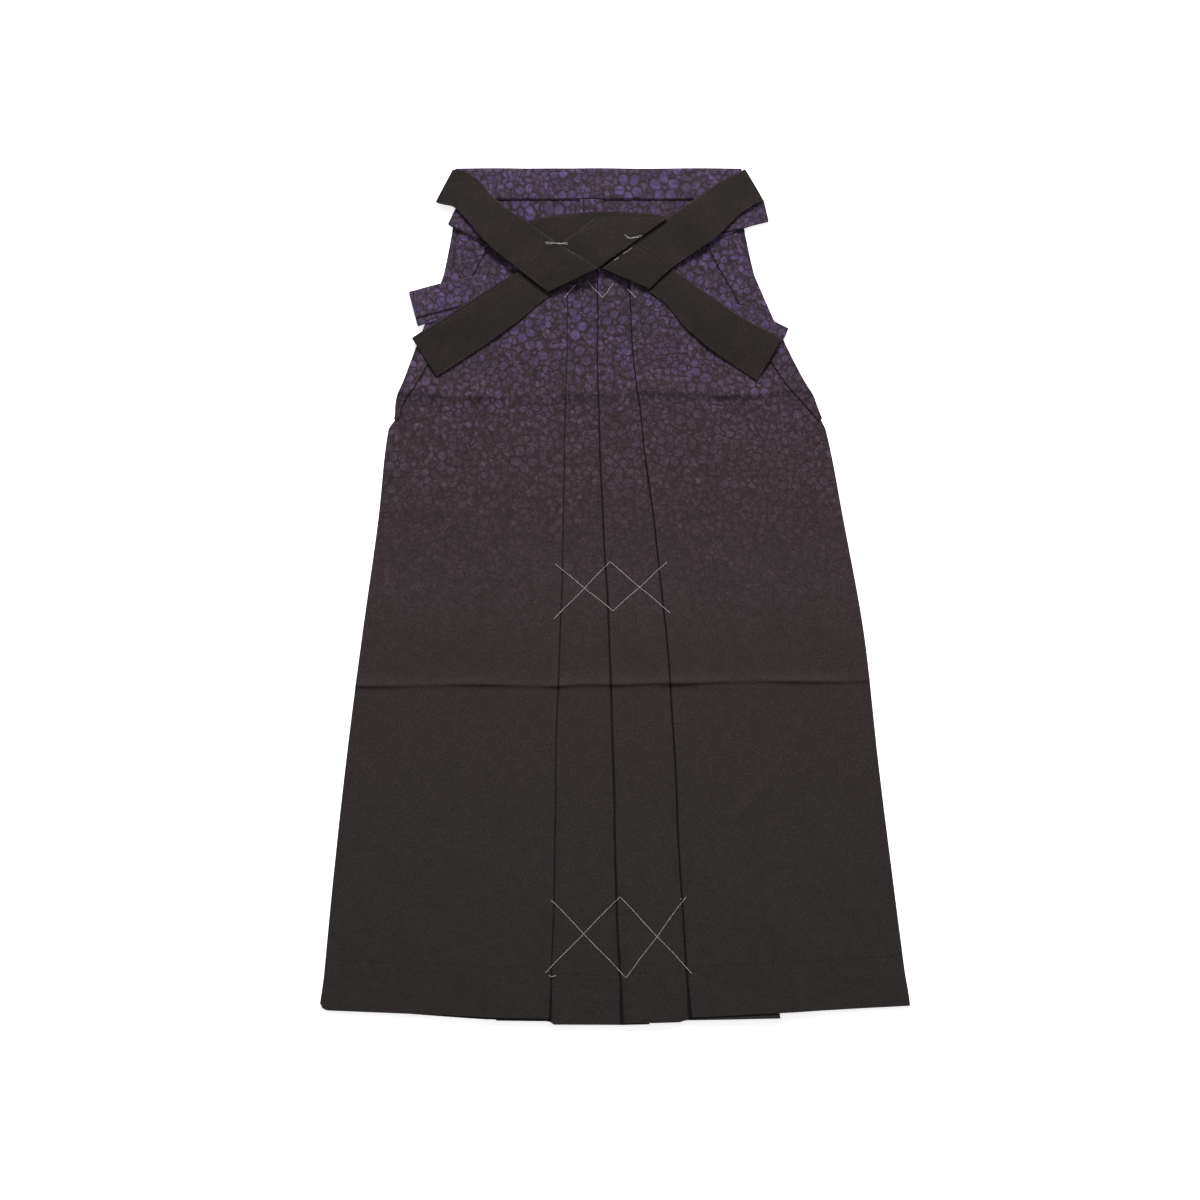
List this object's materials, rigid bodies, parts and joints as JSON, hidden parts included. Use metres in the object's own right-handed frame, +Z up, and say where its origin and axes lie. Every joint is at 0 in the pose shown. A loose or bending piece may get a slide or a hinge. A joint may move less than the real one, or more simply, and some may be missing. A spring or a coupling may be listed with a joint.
{
  "type": "hakama trousers",
  "caption": "Pleated undivided hakama laid flat on its back, front up, with a plain front waistband and folded waist ties crossed over it.",
  "frame": {"origin": "centre of the bounding box, on the plane it lies on", "axes": "+Z up away from the surface it lies on, +Y towards the waist, +X to the right of someone looking down at its front"},
  "size_m": [0.6698, 0.9756, 0.0217],
  "materials": {
    "shaded_cloth": "matt plain weave, violet floral at the waist fading to dark brown at the hem",
    "flowered_cloth": "matt plain weave with an all-over violet floral",
    "plain_cloth": "matt plain weave, plain dark brown"
  },
  "bodies": {
    "root": {"back_left": "shaded_cloth", "back_right": "shaded_cloth", "back_tie_lower_left": "flowered_cloth", "back_tie_lower_right": "flowered_cloth", "back_tie_upper_left": "flowered_cloth", "back_tie_upper_right": "flowered_cloth", "back_waistband": "flowered_cloth", "front_centre_left": "shaded_cloth", "front_centre_right": "shaded_cloth", "front_left": "shaded_cloth", "front_right": "shaded_cloth", "front_tie_lower_left": "plain_cloth", "front_tie_lower_right": "plain_cloth", "front_tie_upper_left": "plain_cloth", "front_tie_upper_right": "plain_cloth", "front_waistband": "plain_cloth", "side_fold_left": "flowered_cloth", "side_fold_right": "flowered_cloth"}
  },
  "joints": []
}
